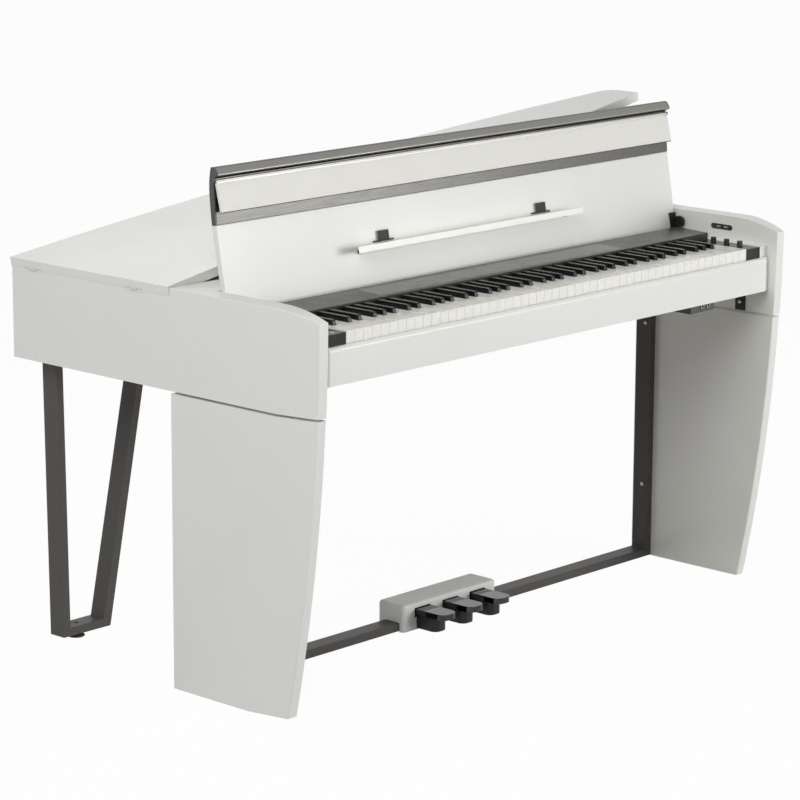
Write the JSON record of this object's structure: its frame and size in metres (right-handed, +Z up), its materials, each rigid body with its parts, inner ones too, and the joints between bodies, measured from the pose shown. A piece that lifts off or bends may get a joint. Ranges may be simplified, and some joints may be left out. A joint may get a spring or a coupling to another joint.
{
  "type": "digital piano on stand",
  "caption": "White digital piano shaped like a small grand, with a lid, a folding fallboard with music rest, panel legs, a tube stand and pedals.",
  "frame": {"origin": "centre of the footprint, on the floor", "axes": "+X towards the treble end, +Y towards the back, +Z up"},
  "size_m": [1.4561, 0.8386, 1.039],
  "materials": {
    "white_lacquer": "satin white lacquer",
    "raw_board": "painted board",
    "white_plastic": "satin white",
    "rest_metal": "satin light grey",
    "dark_metal": "satin dark grey",
    "black_metal": "satin black",
    "hinge_steel": "brushed",
    "painted_steel": "white painted",
    "black_rubber": "matt",
    "panel_plastic": "fine matt",
    "window_plastic": "satin grey",
    "knob_plastic": "matt",
    "button_plastic": "satin",
    "ivory_plastic": "satin ivory",
    "black_plastic": "satin black",
    "frame_plastic": "moulded",
    "box_plastic": "smooth light grey",
    "pedal_chrome": "polished dark",
    "speaker_metal": "matt black",
    "circuit": "satin green"
  },
  "bodies": {
    "case": {"left_side_panel": "white_lacquer", "right_side_panel": "white_lacquer", "left_leg_panel": "white_lacquer", "right_leg_panel": "white_lacquer", "rear_rim": "white_lacquer", "keybed": "raw_board", "rear_tray": "raw_board", "keyslip": "white_lacquer", "top_board": "white_lacquer", "lid_hinge_plates": "painted_steel", "prop_bracket": "black_metal", "fallboard_pivots": "black_metal", "control_panel": "panel_plastic", "control_window": "window_plastic", "left_cheek": "panel_plastic", "right_cheek": "panel_plastic", "port_bezel": "panel_plastic", "jack_box": "panel_plastic", "white_keys": "ivory_plastic", "black_keys": "black_plastic", "key_frame": "frame_plastic", "front_frame": "dark_metal", "rear_leg": "dark_metal", "stand_fixings": "black_metal", "pedal_box": "box_plastic", "pedal_blocks": "black_rubber", "pedal_axle": "hinge_steel", "woofers": "speaker_metal", "electronics": "circuit"},
    "lid": {"lid": "white_lacquer", "lid_hinge_leaves": "painted_steel", "prop_pad": "black_rubber"},
    "prop": {"lid_prop": "black_metal"},
    "fallboard": {"fallboard_panel": "white_lacquer", "fallboard_profile": "dark_metal", "fallboard_brackets": "black_metal"},
    "nose_flap": {"fallboard_flap": "white_plastic"},
    "music_rest": {"music_rest": "rest_metal"},
    "left_clip": {"left_page_clip": "black_metal"},
    "right_clip": {"right_page_clip": "black_metal"},
    "volume": {"volume_knob": "knob_plastic"},
    "bass": {"bass_knob": "knob_plastic"},
    "treble": {"treble_knob": "knob_plastic"},
    "power": {"power_button": "button_plastic"},
    "leveller": {"rear_leveller": "black_rubber"},
    "pedal_left": {"left_pedal": "pedal_chrome"},
    "pedal_middle": {"middle_pedal": "pedal_chrome"},
    "pedal_right": {"right_pedal": "pedal_chrome"},
    "note_c4": {"key_c4": "ivory_plastic"},
    "note_c_sharp4": {"key_c_sharp4": "black_plastic"},
    "note_d4": {"key_d4": "ivory_plastic"},
    "note_d_sharp4": {"key_d_sharp4": "black_plastic"},
    "note_e4": {"key_e4": "ivory_plastic"},
    "note_f4": {"key_f4": "ivory_plastic"},
    "note_f_sharp4": {"key_f_sharp4": "black_plastic"},
    "note_g4": {"key_g4": "ivory_plastic"},
    "note_g_sharp4": {"key_g_sharp4": "black_plastic"},
    "note_a4": {"key_a4": "ivory_plastic"},
    "note_a_sharp4": {"key_a_sharp4": "black_plastic"},
    "note_b4": {"key_b4": "ivory_plastic"}
  },
  "joints": [
    {"name": "lid_hinge", "type": "hinge", "parent": "case", "child": "lid", "pos_m": [-0.7234, 0.0615, 0.7773], "axis": [0, -1, 0], "range_deg": [-9.8, 0]},
    {"name": "prop_pivot", "type": "hinge", "parent": "case", "child": "prop", "pos_m": [0.56, 0.04251, 0.757], "axis": [0, 1, 0], "range_deg": [-78.5, 0]},
    {"name": "fallboard_hinge", "type": "hinge", "parent": "case", "child": "fallboard", "pos_m": [0, -0.1595, 0.768], "axis": [-1, 0, 0], "range_deg": [-100.3, 0]},
    {"name": "nose_flap_hinge", "type": "hinge", "parent": "fallboard", "child": "nose_flap", "pos_m": [0, -0.11574, 1.00042], "axis": [-1, 0, 0], "range_deg": [0, 103.5]},
    {"name": "music_rest_hinge", "type": "hinge", "parent": "fallboard", "child": "music_rest", "pos_m": [0, -0.14027, 0.82346], "axis": [-1, 0, 0], "range_deg": [-90.3, 0]},
    {"name": "left_clip_hinge", "type": "hinge", "parent": "fallboard", "child": "left_clip", "pos_m": [-0.2387, -0.13728, 0.83714], "axis": [1, 0, 0], "range_deg": [0, 70]},
    {"name": "right_clip_hinge", "type": "hinge", "parent": "fallboard", "child": "right_clip", "pos_m": [0.2387, -0.13728, 0.83714], "axis": [1, 0, 0], "range_deg": [0, 70]},
    {"name": "volume_turn", "type": "hinge", "parent": "case", "child": "volume", "pos_m": [0.635, -0.3565, 0.742], "axis": [0, 0, -1], "range_deg": [-135, 135]},
    {"name": "bass_turn", "type": "hinge", "parent": "case", "child": "bass", "pos_m": [0.635, -0.3215, 0.742], "axis": [0, 0, -1], "range_deg": [-135, 135]},
    {"name": "treble_turn", "type": "hinge", "parent": "case", "child": "treble", "pos_m": [0.635, -0.2865, 0.742], "axis": [0, 0, -1], "range_deg": [-135, 135]},
    {"name": "power_press", "type": "slide", "parent": "case", "child": "power", "axis": [0, 0, -1], "range_m": [0, 0.0015], "stiffness_N_per_m": 300, "springref_m": -0.002},
    {"name": "leveller_turn", "type": "hinge", "parent": "case", "child": "leveller", "pos_m": [-0.621, 0.366, 0], "axis": [0, 0, 1], "continuous": true},
    {"name": "left_pedal_pivot", "type": "hinge", "parent": "case", "child": "pedal_left", "pos_m": [-0.085, -0.0575, 0.0355], "axis": [1, 0, 0], "range_deg": [0, 5], "stiffness_Nm_per_rad": 10, "springref_deg": -5.73},
    {"name": "middle_pedal_pivot", "type": "hinge", "parent": "case", "child": "pedal_middle", "pos_m": [0, -0.0575, 0.0355], "axis": [1, 0, 0], "range_deg": [0, 5], "stiffness_Nm_per_rad": 10, "springref_deg": -5.73},
    {"name": "right_pedal_pivot", "type": "hinge", "parent": "case", "child": "pedal_right", "pos_m": [0.085, -0.0575, 0.0355], "axis": [1, 0, 0], "range_deg": [0, 5], "stiffness_Nm_per_rad": 10, "springref_deg": -5.73},
    {"name": "press_c4", "type": "hinge", "parent": "case", "child": "note_c4", "pos_m": [-0.06345, -0.2195, 0.7255], "axis": [1, 0, 0], "range_deg": [0, 3.3], "stiffness_Nm_per_rad": 0.8, "springref_deg": -11.46},
    {"name": "press_c_sharp4", "type": "hinge", "parent": "case", "child": "note_c_sharp4", "pos_m": [-0.04935, -0.2195, 0.7255], "axis": [1, 0, 0], "range_deg": [0, 3.3], "stiffness_Nm_per_rad": 0.8, "springref_deg": -11.46},
    {"name": "press_d4", "type": "hinge", "parent": "case", "child": "note_d4", "pos_m": [-0.03525, -0.2195, 0.7255], "axis": [1, 0, 0], "range_deg": [0, 3.3], "stiffness_Nm_per_rad": 0.8, "springref_deg": -11.46},
    {"name": "press_d_sharp4", "type": "hinge", "parent": "case", "child": "note_d_sharp4", "pos_m": [-0.02115, -0.2195, 0.7255], "axis": [1, 0, 0], "range_deg": [0, 3.3], "stiffness_Nm_per_rad": 0.8, "springref_deg": -11.46},
    {"name": "press_e4", "type": "hinge", "parent": "case", "child": "note_e4", "pos_m": [-0.00705, -0.2195, 0.7255], "axis": [1, 0, 0], "range_deg": [0, 3.3], "stiffness_Nm_per_rad": 0.8, "springref_deg": -11.46},
    {"name": "press_f4", "type": "hinge", "parent": "case", "child": "note_f4", "pos_m": [0.00671, -0.2195, 0.7255], "axis": [1, 0, 0], "range_deg": [0, 3.3], "stiffness_Nm_per_rad": 0.8, "springref_deg": -11.46},
    {"name": "press_f_sharp4", "type": "hinge", "parent": "case", "child": "note_f_sharp4", "pos_m": [0.02014, -0.2195, 0.7255], "axis": [1, 0, 0], "range_deg": [0, 3.3], "stiffness_Nm_per_rad": 0.8, "springref_deg": -11.46},
    {"name": "press_g4", "type": "hinge", "parent": "case", "child": "note_g4", "pos_m": [0.03357, -0.2195, 0.7255], "axis": [1, 0, 0], "range_deg": [0, 3.3], "stiffness_Nm_per_rad": 0.8, "springref_deg": -11.46},
    {"name": "press_g_sharp4", "type": "hinge", "parent": "case", "child": "note_g_sharp4", "pos_m": [0.047, -0.2195, 0.7255], "axis": [1, 0, 0], "range_deg": [0, 3.3], "stiffness_Nm_per_rad": 0.8, "springref_deg": -11.46},
    {"name": "press_a4", "type": "hinge", "parent": "case", "child": "note_a4", "pos_m": [0.06043, -0.2195, 0.7255], "axis": [1, 0, 0], "range_deg": [0, 3.3], "stiffness_Nm_per_rad": 0.8, "springref_deg": -11.46},
    {"name": "press_a_sharp4", "type": "hinge", "parent": "case", "child": "note_a_sharp4", "pos_m": [0.07386, -0.2195, 0.7255], "axis": [1, 0, 0], "range_deg": [0, 3.3], "stiffness_Nm_per_rad": 0.8, "springref_deg": -11.46},
    {"name": "press_b4", "type": "hinge", "parent": "case", "child": "note_b4", "pos_m": [0.08729, -0.2195, 0.7255], "axis": [1, 0, 0], "range_deg": [0, 3.3], "stiffness_Nm_per_rad": 0.8, "springref_deg": -11.46}
  ],
  "couplings": [
    {"joint": "prop_pivot", "follows": "lid_hinge", "ratio": 8},
    {"joint": "nose_flap_hinge", "follows": "fallboard_hinge", "ratio": -1.03},
    {"joint": "music_rest_hinge", "follows": "fallboard_hinge", "ratio": 0.9}
  ]
}
